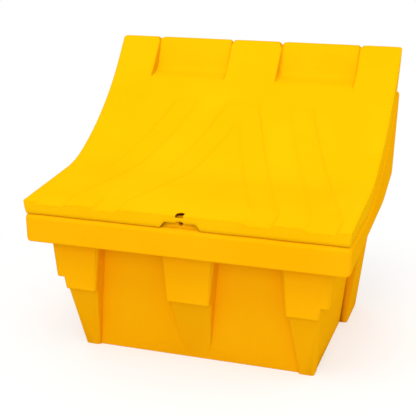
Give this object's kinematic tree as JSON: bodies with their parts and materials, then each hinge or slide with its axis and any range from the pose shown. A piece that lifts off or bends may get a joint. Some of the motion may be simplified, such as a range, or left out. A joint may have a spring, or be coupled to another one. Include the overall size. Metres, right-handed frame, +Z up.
{
  "type": "grit salt bin",
  "caption": "Free-standing plastic grit and salt bin with a tapered, lugged tub and a sweeping ski-slope lid hinged at the tall back.",
  "frame": {"origin": "on the ground, in the middle of the width and of the overall depth", "axes": "+Z up, -Y towards the low front of the lid, +X to the right as seen from the back"},
  "size_m": [1.006, 0.858, 0.913],
  "materials": {
    "yellow_plastic": "satin, as moulded",
    "steel": "zinc plated"
  },
  "bodies": {
    "tub": {"tub": "yellow_plastic", "hinge_rod": "steel", "rod_caps": "steel"},
    "lid": {"lid": "yellow_plastic"}
  },
  "joints": [
    {"name": "lid_hinge", "type": "hinge", "parent": "tub", "child": "lid", "pos_m": [0, 0.409, 0.891], "axis": [-1, 0, 0], "range_deg": [0, 130]}
  ]
}
